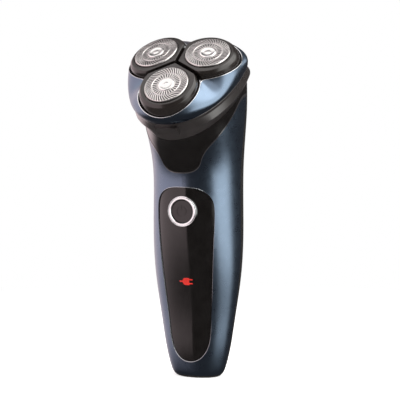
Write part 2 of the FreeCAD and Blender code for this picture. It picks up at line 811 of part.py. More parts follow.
shaft = upright("motor_shaft_radius", "gear_top_depth - 0.4", motor_top + " + motor_length + 0.8")("shaft")
node(placed(shaft, HEAD), "motor_shaft")
node(turned("armature", [
    ("motor_shaft_radius", motor_top + " + 4.0"), ("rotor_radius", motor_top + " + 4.0"),
    ("rotor_radius", motor_top + " + 18.0"), ("rotor_radius - 3.0", motor_top + " + 18.0"),
    ("rotor_radius - 3.0", motor_top + " + 21.0"), ("motor_shaft_radius", motor_top + " + 21.0"),
]), "motor_armature", HEAD)

MODULE = 2 * DRIVE_OFFSET / (size("pinion_teeth") + size("gear_teeth"))
PRESSURE_ANGLE = math.radians(20)
BACKLASH = 0.14


def involute(angle):
    return math.tan(angle) - angle


def gear_face(teeth, middle_degrees):
    """The outline of a spur gear with one tooth centred on middle_degrees."""
    pitch_radius = MODULE * teeth / 2
    base_radius = pitch_radius * math.cos(PRESSURE_ANGLE)
    root_radius = pitch_radius - 1.25 * MODULE
    tip_radius = pitch_radius + 0.95 * MODULE
    half_tooth = math.pi / (2 * teeth) - BACKLASH / (2 * pitch_radius)

    def spot(radius, angle):
        return Vector(radius * math.cos(angle), radius * math.sin(angle), 0)

    def flank_angle(radius):
        rolled = involute(math.acos(min(1, base_radius / radius)))
        return half_tooth + involute(PRESSURE_ANGLE) - rolled

    start_radius = max(base_radius, root_radius)
    radii = [start_radius + (tip_radius - start_radius) * step / 4 for step in range(5)]
    edges = []
    for tooth in range(int(teeth)):
        middle = math.radians(middle_degrees) + 2 * math.pi * tooth / teeth
        following = middle + 2 * math.pi / teeth
        rising = [spot(radius, middle - flank_angle(radius)) for radius in radii]
        falling = [spot(radius, middle + flank_angle(radius)) for radius in reversed(radii)]
        root_start = spot(root_radius, middle - flank_angle(start_radius))
        root_end = spot(root_radius, middle + flank_angle(start_radius))
        next_root = spot(root_radius, following - flank_angle(start_radius))
        for points in (rising, falling):
            flank = Part.BSplineCurve()
            flank.interpolate(points)
            edges.append(flank.toShape())
        edges.append(Part.Arc(rising[-1], spot(tip_radius, middle), falling[0]).toShape())
        if start_radius > root_radius:
            edges.append(Part.makeLine(root_start, rising[0]))
            edges.append(Part.makeLine(falling[-1], root_end))
        edges.append(Part.Arc(root_end, spot(root_radius, (middle + following) / 2), next_root).toShape())
    return Part.Face(Part.Wire(Part.__sortEdges__(edges)))


def gear_blank(name, teeth, middle_degrees):
    """Teeth between the gear's top and bottom depths."""
    depth = size("gear_top_depth")
    solid = gear_face(size(teeth), middle_degrees).extrude(Vector(0, 0, size("gear_thickness")))
    return freeform(name, solid, shifted(0, 0, depth))


pinion_bore = upright("motor_shaft_radius", "gear_top_depth - 1.0", "gear_top_depth + 5.0")("pinion_bore")
node(cut("pinion", gear_blank("pinion_blank", "pinion_teeth", 90), pinion_bore), "drive_pinion", HEAD)

gear_phase = -90 + 180 / size("gear_teeth")
gear_tower = upright("tower_radius", "tower_top_depth", "gear_top_depth + 0.5")("gear_tower")
gear_boss = upright("boss_radius", "gear_top_depth + 0.5", "boss_base_depth")("gear_boss")
gear_bore = upright("tower_bore_radius", "tower_top_depth - 1.0", "tower_floor_depth")("gear_bore")
axle_bore = upright("axle_bore_radius", "axle_top_depth - 0.2", "boss_base_depth + 1.0")("axle_bore")
gear_solid = fuse("gear_solid", gear_blank("gear_blank", "gear_teeth", gear_phase), gear_tower, gear_boss)
gear = cut("gear", gear_solid, gear_bore, axle_bore)


def frustum(name, top_half, base_half, top, base):
    """A square pyramid frustum between two depths."""
    sizes = {
        "Xmin": "0 - " + top_half, "Xmax": top_half, "Zmin": "0 - " + top_half, "Zmax": top_half,
        "X2min": "0 - " + base_half, "X2max": base_half, "Z2min": "0 - " + base_half, "Z2max": base_half,
        "Ymin": "0", "Ymax": difference(base, top),
    }
    return primitive("Wedge", name, sizes, ("0", "0", top), Rotation(AXIS_X, 90))


spindle_tip = frustum("spindle_tip", "tip_top_half", "tip_base_half", "tip_top_depth", "tip_base_depth")
spindle_rod = upright("spindle_radius", "tip_base_depth", "spindle_base_depth")("spindle_rod")
spindle = fuse("spindle", spindle_tip, spindle_rod)

wire_radius = size("spring_wire_radius")
spring_length = size("tower_floor_depth") - size("spindle_base_depth") - 2 * wire_radius - 0.1
helix = Part.makeHelix(spring_length / size("spring_turns"), spring_length, size("spring_coil_radius"))
wire_corners = []
for corner in range(9):
    angle = math.radians(45 * (corner % 8))
    x = size("spring_coil_radius") + wire_radius * math.cos(angle)
    wire_corners.append(Vector(x, 0, wire_radius * math.sin(angle)))
wire_section = Part.makePolygon(wire_corners)
spring_solid = Part.Wire(helix.Edges).makePipeShell([wire_section], True, True)
spring = freeform("spring", spring_solid, shifted(0, 0, size("spindle_base_depth") + wire_radius + 0.05))

# ---------------------------------------------------------------- head bowl, trim and frame

outer_names = ["seam", "cheek", "bowl", "brow", "crest", "lip", "edge", "shelf", "rim"]
inner_names = ["hem", "seam", "cheek", "bowl", "brow", "crest", "lip"]
bowl_skin = freeform("bowl_skin", bowl_loft(0, outer_names))
bowl_core = freeform("bowl_core", bowl_loft(-size("bowl_wall"), inner_names))


def depth_box(name, low, high):
    """The space between two depths, in the head frame."""
    obj = primitive("Box", name, {"Length": "200", "Width": "200", "Height": difference(high, low)})
    obj.Placement = shifted(-100, -100, number(low))
    return obj


unit_turns = [turned_by(turn) for turn in TURNS.values()]


def three_circles(name, radius, top, base):
    """Three overlapping cylinders around the units, parallel to the head axis."""
    shapes = []
    for index, place in enumerate(unit_turns):
        at = ("0", "cover_base_offset", top)
        shapes.append(placed(cylinder(name + "_%d" % index, radius, difference(base, top), at), place))
    return fuse(name, *shapes)




def above_rim(name, drop="0"):
    """Three sloping blocks over the rim, which is low at each cover's tip and high between the covers."""
    shapes = []
    for index, place in enumerate(unit_turns):
        lid = primitive("Box", name + "_%d" % index, {"Length": "200", "Width": "200", "Height": "60"})
        tip = Vector(0, size("rim_tip_reach"), size("rim_tip_depth") + number(drop))
        lid.Placement = (place * Placement(tip, Rotation(AXIS_X, size("rim_slope"))) * shifted(-100, -100, -60))
        shapes.append(lid)
    return shapes


bowl_hollow = common("bowl_hollow", bowl_core, depth_box("hollow_depths", "hollow_depth", "seam_depth + 5.0"))
bowl_opening = three_circles("bowl_opening", "trim_radius", "rim_valley_depth - 3.0", "opening_depth")
over_bowl = above_rim("over_bowl")
ear_room = hinge_cylinder("ear_room", "hinge_radius + hinge_clearance", "ear_half_width + 0.4",
                          "knuckle_half_width")
knuckle = hinge_cylinder("knuckle", "hinge_radius", "knuckle_half_width")
knuckle_root = block("knuckle_root", "knuckle_half_width", "hinge_radius", "3.4",
                     ("0", "0 - hinge_back + 1.2", "seam_depth - 3.4"))
knuckle_bore = hinge_cylinder("knuckle_bore", "hinge_bore_radius", "knuckle_half_width + 1.0")
bowl_block = fuse("bowl_block", bowl_skin, knuckle, knuckle_root)
bowl = cut("bowl", bowl_block, bowl_hollow, bowl_opening, ear_room, mirrored("ear_room_left", ear_room), knuckle_bore,
           *over_bowl)
node(bowl, "head_holder", HEAD)

trim_outer = three_circles("trim_outer", "trim_radius", "rim_valley_depth", "opening_depth")
trim_inner = three_circles("trim_inner", "opening_radius", "rim_valley_depth - 1.0", "opening_depth + 1.0")
trim_depths = fuse("trim_depths", *above_rim("over_trim_base", "trim_height"),
                   depth_box("trim_slab", "0", "rim_valley_depth + trim_height"))
trim_ring = cut("trim_ring", trim_outer, trim_inner, *over_bowl)
node(common("trim_band", trim_ring, trim_depths), "head_trim", HEAD)

frame_skin = freeform("frame_skin", bowl_loft(-size("bowl_wall") - 0.05, inner_names[:5]))
frame_plate = common("frame_plate", frame_skin, depth_box("frame_depths", "frame_depth",
                                                          "frame_depth + frame_thickness"))
pivot_post = primitive("Box", "pivot_post", {
    "Length": "pivot_post_width", "Width": "2 * pivot_half_depth", "Height": "frame_depth - rock_depth + 2.4",
}, ("pivot_post_start", "0 - pivot_half_depth", "rock_depth - 1.6"))
pivot_pair = fuse("pivot_pair", pivot_post, mirrored("pivot_post_left", pivot_post))


def pivot_cylinder(name, radius, start, end):
    return cylinder(name, radius, difference(end, start), (start, "0", "rock_depth"), Rotation(AXIS_Y, 90))


pin_end = "pivot_lug_start + pivot_lug_width"
pivot_pin = pivot_cylinder("pivot_pin", "pivot_pin_radius", "pivot_post_start", pin_end)
pin_pair = group("pin_pair", pivot_pin, mirrored("pivot_pin_left", pivot_pin))


def at_units(name, master):
    """The master repeated at the three cutting units, in the head frame."""
    copies = []
    for side in TURNS:
        copy = group(name + "_" + side, master)
        copy.Placement = UNIT[side]
        copies.append(copy)
    return group(name, *copies)


frame_holes = repeated("frame_holes", upright("frame_hole_radius", "frame_depth - 1.0",
                                              "frame_depth + frame_thickness + 1.0"), DRIVE.values())
all_pins = at_units("all_pins", pin_pair)
frame_body = fuse("frame_body", cut("frame_holed", frame_plate, frame_holes), at_units("all_posts", pivot_pair))
node(cut("frame_cut", frame_body, all_pins), "lobe_frame", HEAD)
node(group("pivot_pins", all_pins), "lobe_pivot_pins", HEAD)

# ---------------------------------------------------------------- one cutting unit

cover_drop = size("cover_drop")
top_radius = size("cover_top_radius")
base_depth = size("cover_height")
base_shift = size("cover_base_offset") - size("unit_offset") + base_depth * math.sin(math.radians(size("unit_tilt")))
cover_rings = [
    (cover_drop, top_radius - 0.25, -size("cover_top_shift")),
    (cover_drop + 0.2, top_radius, -size("cover_top_shift")),
    (cover_drop + 1.3, top_radius + 0.55, -size("cover_top_shift") + 0.4),
    (cover_drop + 2.9, top_radius + 0.95, -size("cover_top_shift") + 0.8),
    (base_depth, size("cover_base_radius"), base_shift),
]
cover_wires = [Part.Wire([Part.makeCircle(radius, Vector(0, y, depth))]) for depth, radius, y in cover_rings]
cover_block = freeform("cover_block", Part.makeLoft(cover_wires, True, True))

apex = size("groove_half_width") / math.sin(math.radians(60))
wedge_side = 70.0
wedge_points = [
    Vector(0, apex, -8),
    Vector(wedge_side * math.sin(math.radians(60)), apex + wedge_side * 0.5, -8),
    Vector(0, apex + wedge_side, -8),
    Vector(-wedge_side * math.sin(math.radians(60)), apex + wedge_side * 0.5, -8),
    Vector(0, apex, -8),
]
wedge_solid = Part.Face(Part.makePolygon(wedge_points)).extrude(Vector(0, 0, 24))
unit_wedge = freeform("unit_wedge", wedge_solid, UNIT["front"].inverse())

cover_lug = primitive("Box", "cover_lug", {
    "Length": "pivot_lug_width", "Width": "2 * pivot_half_depth", "Height": "3.8",
}, ("pivot_lug_start", "0 - pivot_half_depth", "rock_depth - 1.9"))
post_notch = primitive("Box", "post_notch", {
    "Length": "pivot_lug_start - cover_bore_radius + 0.3", "Width": "2 * pivot_half_depth + 1.0", "Height": "3.0",
}, ("cover_bore_radius - 0.3", "0 - pivot_half_depth - 0.5", "rock_depth - 2.0"))
lug_bore = pivot_cylinder("lug_bore", "pivot_bore_radius", "pivot_post_start", pin_end + " + 1.0")
cover_solid = fuse("cover_solid", common("cover_wedge", cover_block, unit_wedge), cover_lug,
                   mirrored("cover_lug_left", cover_lug))
cover = cut(
    "cover", cover_solid,
    upright("cover_hole_radius", "cover_drop - 2.0", "cover_height")("cover_hole"),
    upright("cover_bore_radius", "comb_height - comb_flange_height - 0.05", "cover_height + 3.0")("cover_bore"),
    post_notch, mirrored("post_notch_left", post_notch), lug_bore, mirrored("lug_bore_left", lug_bore),
)

comb = turned("comb", [
    ("0", "comb_cap_depth"), ("comb_cap_radius", "comb_cap_depth"), ("comb_cap_radius", "0"),
    ("inner_slot_end + 0.2", "0"), ("inner_slot_end + 0.4", "track_groove_depth"),
    ("outer_slot_start - 0.4", "track_groove_depth"), ("outer_slot_start - 0.2", "0"),
    ("disc_radius - 0.4", "0"), ("disc_radius", "0.4"),
    ("disc_radius", "comb_height - comb_flange_height"),
    ("comb_flange_radius", "comb_height - comb_flange_height"), ("comb_flange_radius", "comb_height"),
    ("disc_radius - comb_wall", "comb_height"), ("disc_radius - comb_wall", "comb_skin"), ("0", "comb_skin"),
])


def slot_ring(body, track, start, end, count):
    """A ring of radial slots cut through the top of the comb."""
    sketch = body.newObject("Sketcher::SketchObject", track + "_sketch")
    sketch.AttachmentSupport = [(origin_plane(body, "XY_Plane"), "")]
    sketch.MapMode = "FlatFace"
    half = "0.5 * slot_width"
    draw_polygon(sketch, [(start, "0 - " + half), (end, "0 - " + half), (end, half), (start, half)])
    doc.recompute()
    pocket = body.newObject("PartDesign::Pocket", track + "_slot")
    pocket.Profile = sketch
    pocket.Type = "ThroughAll"
    pocket.Midplane = True
    doc.recompute()
    pattern = body.newObject("PartDesign::PolarPattern", track + "_slots")
    pattern.Originals = [pocket]
    pattern.Axis = (sketch, ["N_Axis"])
    pattern.Angle = 360
    bind(pattern, "Occurrences", count)
    body.Tip = pattern
    doc.recompute()


doc.recompute()
plain_volume = comb.Shape.Volume
slot_ring(comb, "inner", "inner_slot_start", "inner_slot_end", "inner_slot_count")
slot_ring(comb, "outer", "outer_slot_start", "outer_slot_end", "outer_slot_count")
if comb.Shape.Volume > plain_volume - 20:
    raise RuntimeError("the comb slots were not cut")

comb_cap = turned("comb_cap", [
    ("0", "0"), ("comb_cap_radius - 0.6", "0"), ("comb_cap_radius - 0.1", "0.2"),
    ("comb_cap_radius - 0.1", "comb_cap_depth + 0.15"), ("0", "comb_cap_depth + 0.15"),
])

cutter_disc = turned("cutter_disc", [
    ("0", "cutter_plate_depth"), ("cutter_radius", "cutter_plate_depth"),
    ("cutter_radius", "cutter_plate_depth + cutter_plate_height"),
    ("cutter_hub_radius", "cutter_plate_depth + cutter_plate_height"),
    ("cutter_hub_radius", "cutter_base_depth"), ("0", "cutter_base_depth"),
])
blades = []
for index in range(int(size("blade_count"))):
    blade = primitive("Box", "blade_%d" % index, {
        "Length": "cutter_radius - inner_slot_start - 0.1", "Width": "blade_thickness",
        "Height": "cutter_plate_depth - cutter_top_depth + 0.2",
    })
    turn = turned_by(360 * index / size("blade_count"))
    blade.Placement = turn * shifted(size("inner_slot_start"), -size("blade_thickness") / 2, size("cutter_top_depth"))
    blades.append(blade)
cutter_socket = frustum("cutter_socket", "socket_top_half", "socket_mouth_half", "socket_top_depth",
                        "cutter_base_depth")
cutter = cut("cutter", fuse("cutter_body", cutter_disc, *blades), cutter_socket)

retainer = turned("retainer", [
    ("retainer_inner_radius", "retainer_depth"), ("cover_bore_radius", "retainer_depth"),
    ("cover_bore_radius", "retainer_depth + retainer_height"),
    ("retainer_inner_radius", "retainer_depth + retainer_height"),
])

for side in TURNS:
    unit_place = HEAD * UNIT[side]
    drive_place = HEAD * DRIVE[side]
    node(group("cover_of_" + side, cover), "lobe_cover_" + side, unit_place)
    node(group("retainer_of_" + side, retainer), "comb_retainer_" + side, unit_place)
    node(group("comb_of_" + side, comb), "comb_" + side, unit_place)
    node(group("cap_of_" + side, comb_cap), "comb_cap_" + side, unit_place * shifted(0, 0, -0.15))
    node(group("cutter_of_" + side, cutter), "cutter_" + side, unit_place)
    node(group("gear_of_" + side, gear), "drive_gear_" + side, drive_place)
    node(group("spindle_of_" + side, spindle), "spindle_" + side, drive_place)
    node(group("spring_of_" + side, spring), "spindle_spring_" + side, drive_place)

# ---------------------------------------------------------------- checks and export

doc.recompute()
failed = [obj.Name for obj in doc.Objects if "Invalid" in obj.State or "Error" in obj.State]
if failed:
    raise RuntimeError("failed to build: " + ", ".join(failed))
for obj in nodes:
    if obj.Shape.isNull() or not obj.Shape.isValid() or obj.Shape.Volume <= 0:
        raise RuntimeError(obj.Label + " has no valid solid")
for obj in nodes:
    obj.Shape.exportStep(os.path.join("parts", obj.Label + ".step"))
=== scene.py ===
import json
import math

import bpy
import bmesh
from mathutils import Matrix, Vector
from mathutils.bvhtree import BVHTree
from mathutils.geometry import convex_hull_2d


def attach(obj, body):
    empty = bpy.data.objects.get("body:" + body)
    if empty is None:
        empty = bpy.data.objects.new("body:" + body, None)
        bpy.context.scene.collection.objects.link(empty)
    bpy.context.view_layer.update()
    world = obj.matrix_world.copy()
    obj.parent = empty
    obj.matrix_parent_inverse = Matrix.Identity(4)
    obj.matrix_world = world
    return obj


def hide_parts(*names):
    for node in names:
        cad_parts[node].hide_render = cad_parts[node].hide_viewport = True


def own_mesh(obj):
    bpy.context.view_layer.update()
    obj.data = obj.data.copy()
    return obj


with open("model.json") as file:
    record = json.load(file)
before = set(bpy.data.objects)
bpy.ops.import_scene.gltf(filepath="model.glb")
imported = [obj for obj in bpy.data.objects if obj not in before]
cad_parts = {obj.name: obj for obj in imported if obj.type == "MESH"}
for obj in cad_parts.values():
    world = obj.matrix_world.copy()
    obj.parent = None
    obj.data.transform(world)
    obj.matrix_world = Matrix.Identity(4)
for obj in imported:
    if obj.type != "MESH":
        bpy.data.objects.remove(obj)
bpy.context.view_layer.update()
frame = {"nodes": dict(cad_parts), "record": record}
nodes = frame["nodes"]
scene = bpy.context.scene
MM = 0.001

# ---------------------------------------------------------------- material helpers


class Shader:
    """A node material under construction, with short ways to add and join nodes."""

    def __init__(self, name):
        self.material = bpy.data.materials.new(name)
        self.material.use_nodes = True
        self.tree = self.material.node_tree
        self.surface = self.tree.nodes["Principled BSDF"]

    def node(self, kind, **settings):
        made = self.tree.nodes.new("ShaderNode" + kind)
        for key, value in settings.items():
            setattr(made, key, value)
        return made

    def link(self, source, target):
        self.tree.links.new(source, target)

    def put(self, target, value):
        """Joins a socket to the target, or sets the target to a number or a colour."""
        if isinstance(value, bpy.types.NodeSocket):
            self.link(value, target)
        elif hasattr(value, "__len__") and len(value) == 3 and target.type == "RGBA":
            target.default_value = (*value, 1)
        else:
            target.default_value = value

    def set(self, **values):
        for key, value in values.items():
            self.put(self.surface.inputs[key.replace("_", " ")], value)

    def place(self, stretch=(1, 1, 1)):
        """Object coordinates in metres, stretched along the axes."""
        coordinates = self.node("TexCoord")
        mapping = self.node("Mapping")
        mapping.inputs["Scale"].default_value = stretch
        self.link(coordinates.outputs["Object"], mapping.inputs["Vector"])
        return mapping.outputs["Vector"]

    def noise(self, scale, detail=3.0, roughness=0.5, stretch=(1, 1, 1)):
        made = self.node("TexNoise")
        made.inputs["Scale"].default_value = scale
        made.inputs["Detail"].default_value = detail
        made.inputs["Roughness"].default_value = roughness
        self.link(self.place(stretch), made.inputs["Vector"])
        return made.outputs["Fac"]

    def multiply(self, first, second):
        made = self.node("Math", operation="MULTIPLY")
        self.put(made.inputs[0], first)
        self.put(made.inputs[1], second)
        return made.outputs[0]

    def remap(self, value, low, high, new_low, new_high):
        made = self.node("MapRange")
        limits = {"From Min": low, "From Max": high, "To Min": new_low, "To Max": new_high}
        for key, number in limits.items():
            self.put(made.inputs[key], number)
        self.put(made.inputs["Value"], value)
        return made.outputs["Result"]

    def mix(self, factor, first, second):
        made = self.node("Mix", data_type="RGBA")
        self.put(made.inputs["Factor"], factor)
        self.put(made.inputs[6], first)
        self.put(made.inputs[7], second)
        return made.outputs[2]

    def bump(self, height, strength, distance):
        made = self.node("Bump")
        made.inputs["Strength"].default_value = strength
        made.inputs["Distance"].default_value = distance
        self.link(height, made.inputs["Height"])
        return made.outputs["Normal"]


def lacquer_blue():
    """Metallic blue lacquer: very fine flakes under a clear coat."""
    s = Shader("blue_lacquer")
    flakes = s.node("TexVoronoi")
    flakes.inputs["Scale"].default_value = 9000
    s.link(s.place(), flakes.inputs["Vector"])
    sparkle = s.remap(flakes.outputs["Color"], 0.0, 1.0, 0.97, 1.03)
    drift = s.remap(s.noise(40, 2), 0.3, 0.7, 0.97, 1.03)
    blue = s.node("VectorMath", operation="SCALE")
    blue.inputs[0].default_value = (0.165, 0.222, 0.300)
    s.link(s.multiply(sparkle, drift), blue.inputs["Scale"])
    haze = s.remap(s.noise(300, 4), 0.35, 0.65, 0.27, 0.31)
    s.set(Base_Color=blue.outputs[0], Metallic=1.0, Roughness=haze)
    s.set(Coat_Weight=0.25, Coat_Roughness=0.08)
    return s.material


def plastic(name, colour, low_rough, high_rough, grain=2600, depth=0.08, coat=0.0, shine=0.5):
    """Moulded plastic: fine grain, slight changes in sheen, faint handling marks."""
    s = Shader(name)
    sheen = s.remap(s.noise(60, 5, 0.6), 0.3, 0.7, low_rough, high_rough)
    lighter = tuple(min(1.0, part * 1.25 + 0.002) for part in colour)
    tone = s.mix(s.remap(s.noise(220, 4), 0.35, 0.7, 0.0, 1.0), colour, lighter)
    s.set(Base_Color=tone, Roughness=sheen, Normal=s.bump(s.noise(grain, 3), depth, 0.00004))
    s.set(Coat_Weight=coat, Coat_Roughness=0.05, Specular_IOR_Level=shine)
    return s.material


def metal(name, colour, low_rough, high_rough, stretch=(1, 1, 1), grain=900, depth=0.05):
    """Worked metal with fine tool marks drawn out along one direction."""
    s = Shader(name)
    lines = s.noise(grain, 4, 0.6, stretch)
    darker = tuple(part * 0.86 for part in colour)
    s.set(Base_Color=s.mix(s.remap(lines, 0.3, 0.7, 0, 1), darker, colour), Metallic=1.0)
    s.set(Roughness=s.remap(lines, 0.3, 0.7, low_rough, high_rough))
    s.set(Normal=s.bump(lines, depth, 0.00003))
    return s.material


materials = {
    "blue_lacquer": lacquer_blue(),
    "black_gloss": plastic("black_gloss", (0.0050, 0.0042, 0.0038), 0.10, 0.14, 3000, 0.01, coat=0.3),
    "black_cover": plastic("black_cover", (0.016, 0.0125, 0.011), 0.20, 0.27, 3200, 0.05, coat=0.4),
    "ring_black": plastic(
        "ring_black", (0.020, 0.0165, 0.0155), 0.26, 0.32, 3000, 0.01, coat=1.0, shine=1.0),
    "black_satin": plastic("black_satin", (0.016, 0.015, 0.014), 0.32, 0.42, 2600, 0.10),
    "chrome": metal("chrome", (0.86, 0.86, 0.88), 0.05, 0.10, grain=300, depth=0.02),
    # Light grey metal on the shell's blue edge round the panel: painted highlight for the light that edge
    # catches.
    "lip_painted_highlight": metal("lip_painted_highlight", (0.62, 0.65, 0.68), 0.26, 0.34, grain=300, depth=0.02),
    "trim_silver": metal("trim_silver", (0.93, 0.94, 0.96), 0.16, 0.24, grain=300, depth=0.02),
    "bezel_silver": metal("bezel_silver", (0.94, 1.0, 1.0), 0.08, 0.11, grain=4000, depth=0.002),
    "comb_steel": metal("comb_steel", (0.84, 0.81, 0.80), 0.24, 0.28, grain=5000, depth=0.01),
    # The cutters' steel, darkened far below real steel: painted shade for the dim inside of the head seen
    # through the comb's slots.
    "cutter_steel": metal("cutter_steel", (0.14, 0.137, 0.135), 0.25, 0.38, grain=1200),
    "comb_cap": metal("comb_cap", (0.97, 0.96, 0.95), 0.22, 0.28, grain=4000, depth=0.01),
    "red_lens": plastic("red_lens", (0.62, 0.020, 0.012), 0.18, 0.24, 1500, 0.04, coat=0.5),
    "gear_nylon": plastic("gear_nylon", (0.70, 0.69, 0.63), 0.42, 0.52),
    "deck_plastic": plastic("deck_plastic", (0.035, 0.036, 0.040), 0.40, 0.52, 1600, 0.14),
    "spindle_plastic": plastic("spindle_plastic", (0.33, 0.36, 0.38), 0.34, 0.44),
    "spring_steel": metal("spring_steel", (0.55, 0.55, 0.56), 0.2, 0.3),
    "pin_steel": metal("pin_steel", (0.60, 0.60, 0.61), 0.14, 0.24, (1, 30, 30)),
    "motor_steel": metal("motor_steel", (0.52, 0.53, 0.52), 0.28, 0.42, grain=500),
    "rotor_iron": metal("rotor_iron", (0.30, 0.17, 0.10), 0.35, 0.5, (1, 1, 18)),
    "battery_wrap": plastic("battery_wrap", (0.05, 0.22, 0.12), 0.22, 0.32),
    "contact_metal": metal("contact_metal", (0.72, 0.52, 0.22), 0.2, 0.32),
    "board_green": plastic("board_green", (0.015, 0.10, 0.045), 0.28, 0.40, 900, 0.2),
}

slot_of = {row["node"]: row["material_slot"] for row in frame["record"]["subparts"]}
for node_name, node_object in nodes.items():
    material_name = "ring_black" if node_name == "release_button" else slot_of[node_name]
    node_object.data.materials.clear()
    node_object.data.materials.append(materials[material_name])

# ---------------------------------------------------------------- frames of the head and its units
# Lengths are in millimetres. In the head's frame x points right, y forward and down along the face, and
# z into the head. A unit's frame sits on its comb, with y towards the lobe's tip and z into the lobe.

HEAD_CENTRE = Vector((0, -25.9, 152.6))
HEAD_LEAN = 39.4
UNIT_OFFSET, UNIT_TILT, ROCK_DEPTH = 15.47, 6.8, 6.5
DRIVE_OFFSET = UNIT_OFFSET - ROCK_DEPTH * math.sin(math.radians(UNIT_TILT))
TURNS = {"front": 0.0, "right": -120.0, "left": 120.0}


def shifted(x, y, z):
    return Matrix.Translation((x, y, z))


def turned(degrees, axis):
    return Matrix.Rotation(math.radians(degrees), 4, axis)


WORLD = Matrix.Identity(4)
HEAD = Matrix.Translation(HEAD_CENTRE) @ turned(180 + HEAD_LEAN, "X")
UNIT = {
    side: HEAD @ turned(turn, "Z") @ shifted(0, UNIT_OFFSET, 0) @ turned(UNIT_TILT, "X")
    for side, turn in TURNS.items()
}

# ---------------------------------------------------------------- mesh helpers


def never(row, column):
    return False


def build(name, rings, place, material, body, caps=False, skip=never):
    """A quad surface through rings of points, each ring closed on itself."""
    mesh = bpy.data.meshes.new(name)
    count = len(rings[0])
    points = [(place @ Vector(p)) * MM for ring in rings for p in ring]
    faces = []
    for row in range(len(rings) - 1):
        for column in range(count):
            if not skip(row, column):
                here, beyond = row * count + column, row * count + (column + 1) % count
                faces.append((here, beyond, beyond + count, here + count))
    if caps:
        faces.append(tuple(range(count - 1, -1, -1)))
        faces.append(tuple(range((len(rings) - 1) * count, len(rings) * count)))
    mesh.from_pydata(points, [], faces)
    mesh.validate()
    mesh.update()
    shape = bmesh.new()
    shape.from_mesh(mesh)
    bmesh.ops.remove_doubles(shape, verts=shape.verts, dist=1e-7)
    loose = [v for v in shape.verts if not v.link_faces]
    bmesh.ops.delete(shape, geom=loose, context="VERTS")
    bmesh.ops.recalc_face_normals(shape, faces=shape.faces)
    shape.to_mesh(mesh)
    shape.free()
    for face in mesh.polygons:
        face.use_smooth = True
    obj = bpy.data.objects.new(name, mesh)
    scene.collection.objects.link(obj)
    mesh.materials.append(materials[material])
    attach(obj, body)
    return obj


def sharpen(obj, degrees):
    """Makes the edges that turn by more than some degrees look crisp."""
    obj.data.set_sharp_from_angle(angle=math.radians(degrees))
    return obj


def around(count):
    return [2 * math.pi * index / count for index in range(count)]


def circle(radius, depth, count):
    return [(radius * math.sin(a), radius * math.cos(a), depth) for a in around(count)]


def lathe(name, profile, place, material, body, count=96):
    """A turned piece from (radius, depth) corners; a corner on the axis closes it."""
    rings = [circle(radius, depth, count) for radius, depth in profile]
    return sharpen(build(name, rings, place, material, body), 35)


def soft_least(values, power):
    """The least of some positive values, rounded off where they cross."""
    return sum(v ** -power for v in values) ** (-1 / power)


def soft_most(values, power):
    """The greatest of some positive values, rounded off where they cross."""
    return sum(v ** power for v in values) ** (1 / power)


# ---------------------------------------------------------------- lobe covers

GROOVE = 0.9
GROOVE_APEX = GROOVE / math.sin(math.radians(60))
COVER_COLUMNS = 360
COVER_HOLE = [(11.08, 3.0), (11.08, 1.05), (11.14, 0.86), (11.3, 0.76)]  # radius, depth
COVER_OUTSIDE = [  # depth, circle radius, circle shift, how far the groove edge is eased
    (0.78, 12.9, -1.1, 0.42), (0.80, 13.1, -1.1, 0.30), (0.88, 13.25, -1.09, 0.14),
    (1.02, 13.36, -1.06, 0.03), (1.9, 13.97, -0.76, 0.0), (2.06, 14.06, -0.70, 0.0),
    (2.3, 14.12, -0.64, 0.0), (3.2, 14.24, -0.38, 0.0), (4.6, 14.40, -0.05, 0.0),
    (5.9, 14.50, 0.22, 0.0), (6.2, 14.30, 0.26, 0.15),
]
COVER_FLOOR = (11.5, 6.0)


def circle_reach(angle, radius, shift):
    """Distance to a circle whose centre is moved towards the tip by shift."""
    return shift * math.cos(angle) + math.sqrt(radius ** 2 - (shift * math.sin(angle)) ** 2)


def groove_reach(angle, depth):
    """Distance to the two walls of the Y-shaped groove, or a long way where there is none."""
    tilt, third = math.radians(UNIT_TILT), math.radians(60)
    reach = 99.0
    for hand in (-1, 1):
        closing = hand * 0.5 * math.sin(angle) - math.sin(third) * math.cos(tilt) * math.cos(angle)
        if closing > 1e-3:
            gap = math.sin(third) * (UNIT_OFFSET - GROOVE_APEX - depth * math.sin(tilt))
            reach = min(reach, gap / closing)
    return reach


def cover(side):
    """A cover with a flat lip round its comb, a facet, a falling side and straight groove walls."""
    rows = [circle(radius, depth, COVER_COLUMNS) for radius, depth in COVER_HOLE]
    for depth, radius, shift, ease in COVER_OUTSIDE:
        ring = []
        for a in around(COVER_COLUMNS):
            limits = [circle_reach(a, radius, shift), groove_reach(a, depth) - ease]
            reach = soft_least(limits, 90)
            ring.append((reach * math.sin(a), reach * math.cos(a), depth))
        rows.append(ring)
    rows.append(circle(*COVER_FLOOR, COVER_COLUMNS))
    obj = build("cover_" + side, rows + [rows[0]], UNIT[side], "black_cover", "lobe_" + side)
    sharpen(obj, 28)
    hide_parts("lobe_cover_" + side)


# ---------------------------------------------------------------- combs

COMB_COLUMNS = 360
OUTER_TRACK, OUTER_SLOTS, OUTER_SLANT = (7.15, 10.3), 45, math.radians(13)
INNER_TRACK, INNER_SLOTS = (4.55, 6.65), 30
FOIL_THICKNESS = 0.10
COMB_PROFILE = [  # radius, depth
    (4.1, 0.22), (4.12, 0.05), (4.3, 0.0), (4.55, 0.0), (5.1, -0.02), (5.6, -0.03), (6.1, -0.02),
    (6.65, 0.0), (6.75, 0.14), (7.05, 0.14), (7.15, 0.0), (7.8, -0.02), (8.4, -0.035), (9.1, -0.035),
    (9.7, -0.02), (10.3, 0.0), (10.44, 0.03), (10.58, 0.12), (10.7, 0.3), (10.75, 0.5), (10.75, 3.2),
    (11.3, 3.2),
]
CAP_PROFILE = [  # radius, depth
    (0.0, -0.26), (0.5, -0.25), (0.95, -0.18), (1.15, -0.02), (1.6, 0.02), (2.3, -0.02), (2.75, -0.12),
    (2.95, -0.24), (3.3, -0.27), (3.65, -0.25), (3.85, -0.16), (3.98, 0.0), (4.0, 0.2), (0.0, 0.3),
]


